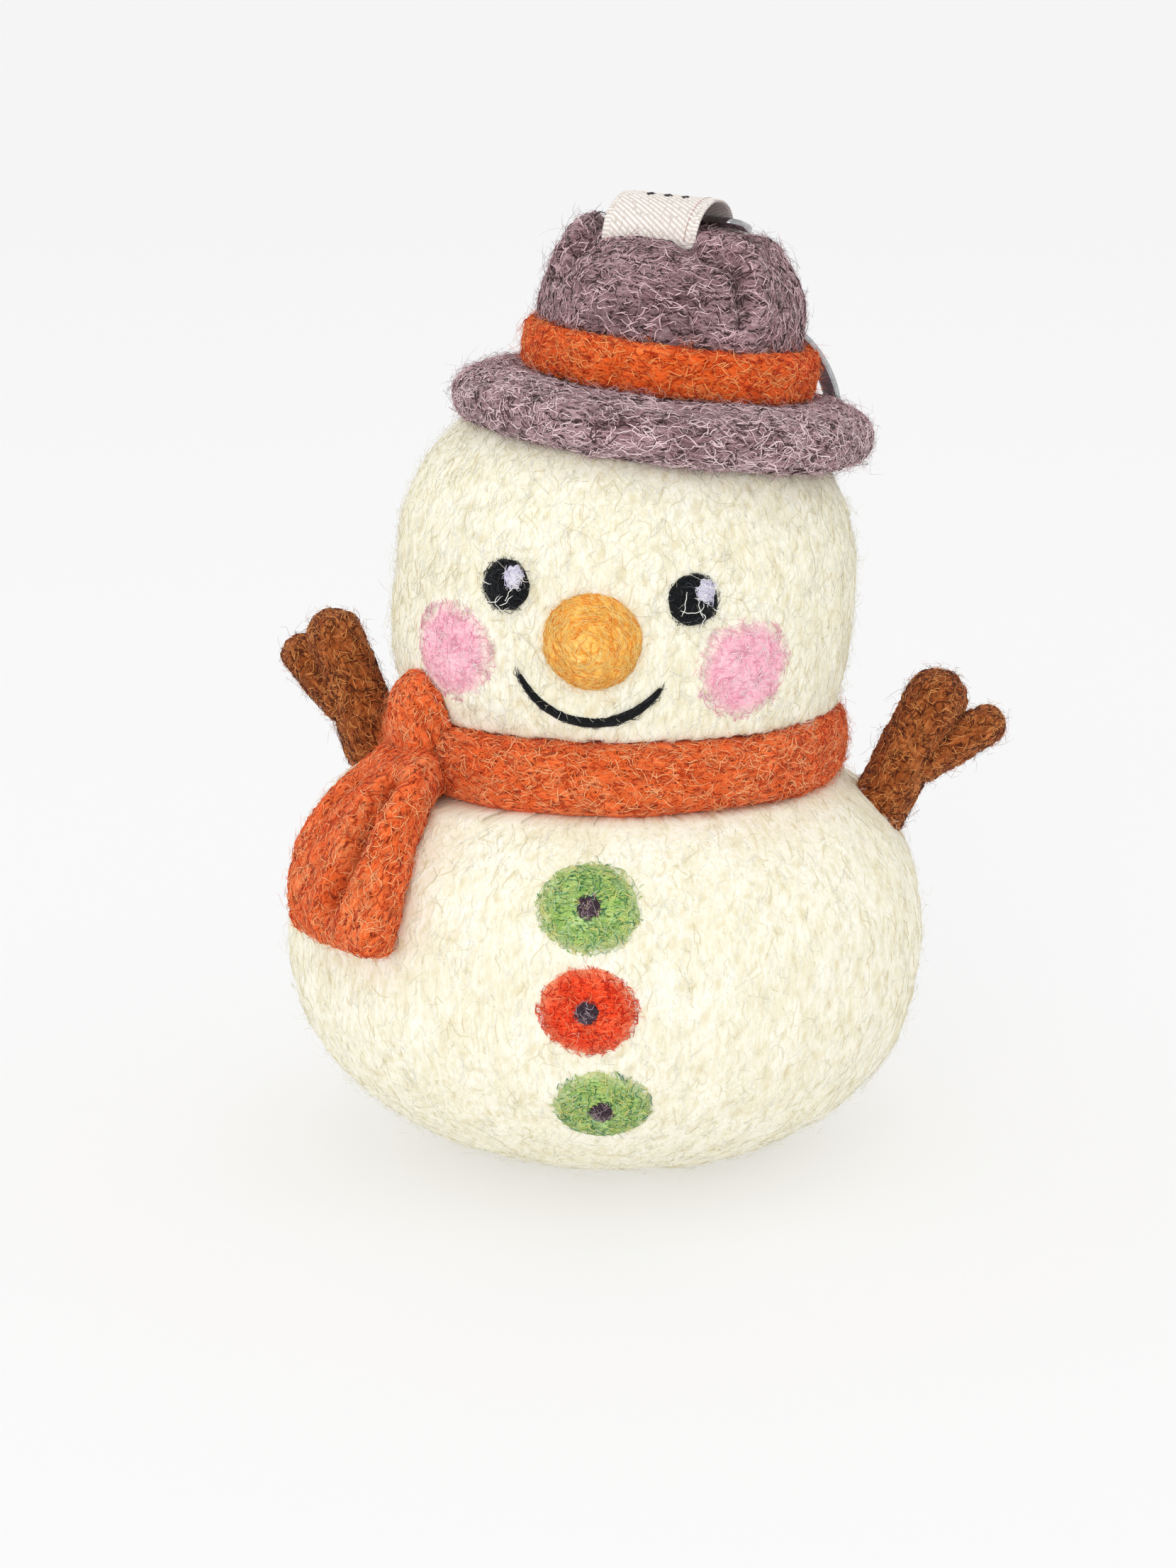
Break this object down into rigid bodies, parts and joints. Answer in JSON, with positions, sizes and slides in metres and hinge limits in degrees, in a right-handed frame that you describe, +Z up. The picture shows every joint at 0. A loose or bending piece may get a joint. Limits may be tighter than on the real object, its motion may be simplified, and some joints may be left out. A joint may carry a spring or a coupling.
{
  "type": "felted wool snowman charm",
  "caption": "Needle-felted wool snowman bag charm: two round balls, bowler hat, scarf with tail, forked stick arms, face and buttons, with a tape loop, short chain and split key ring.",
  "frame": {"origin": "centre of the flat base, on the surface the figure stands on", "axes": "+Z up through the figure, -Y the way the face looks, +X the figure's left, which is the right side seen from the front"},
  "size_m": [0.0774, 0.0695, 0.1025],
  "materials": {
    "cream_felt": "matte",
    "scarf_felt": "matte",
    "hat_felt": "matte",
    "band_felt": "matte",
    "tape": "matte",
    "black_felt": "matte",
    "glint_felt": "matte",
    "pink_felt": "matte",
    "nose_felt": "matte",
    "green_felt": "matte",
    "red_felt": "matte",
    "dot_felt": "matte",
    "brown_felt": "matte",
    "nickel": "polished"
  },
  "bodies": {
    "figure": {"body_wool": "cream_felt", "button_bottom": "green_felt", "button_bottom_dot": "dot_felt", "button_middle": "red_felt", "button_middle_dot": "dot_felt", "button_top": "green_felt", "button_top_dot": "dot_felt", "hat_band": "band_felt", "hat_brim": "hat_felt", "hat_crown": "hat_felt", "head_wool": "cream_felt", "left_arm": "brown_felt", "left_arm_twig": "brown_felt", "left_cheek": "pink_felt", "left_eye": "black_felt", "left_eye_glint": "glint_felt", "mouth": "black_felt", "nose": "nose_felt", "ribbon_loop": "tape", "right_arm": "brown_felt", "right_arm_twig": "brown_felt", "right_cheek": "pink_felt", "right_eye": "black_felt", "right_eye_glint": "glint_felt", "scarf_band": "scarf_felt", "scarf_knot": "scarf_felt", "scarf_tail": "scarf_felt"},
    "d_ring": {"d_ring": "nickel"},
    "chain_link_1": {"chain_link_1": "nickel"},
    "chain_link_2": {"chain_link_2": "nickel"},
    "chain_link_3": {"chain_link_3": "nickel"},
    "split_ring": {"split_ring": "nickel"}
  },
  "joints": [
    {"name": "d_ring_swing", "type": "hinge", "parent": "figure", "child": "d_ring", "pos_m": [0.00808, 0.00392, 0.09946], "axis": [0.9666, -0.241, -0.0872], "range_deg": [0, 60]},
    {"name": "chain_link_1_swing", "type": "hinge", "parent": "d_ring", "child": "chain_link_1", "pos_m": [0.01004, 0.01236, 0.09794], "axis": [0.9903, -0.1392, 0], "range_deg": [0, 25]},
    {"name": "chain_link_2_swing", "type": "hinge", "parent": "chain_link_1", "child": "chain_link_2", "pos_m": [0.01066, 0.01677, 0.09577], "axis": [0.9903, -0.1392, 0], "range_deg": [0, 25]},
    {"name": "chain_link_3_swing", "type": "hinge", "parent": "chain_link_2", "child": "chain_link_3", "pos_m": [0.0114, 0.022, 0.09133], "axis": [0.9903, -0.1392, 0], "range_deg": [0, 25]},
    {"name": "split_ring_swing", "type": "hinge", "parent": "chain_link_3", "child": "split_ring", "pos_m": [0.01176, 0.02461, 0.08819], "axis": [0.9903, -0.1392, 0], "range_deg": [0, 40]}
  ]
}
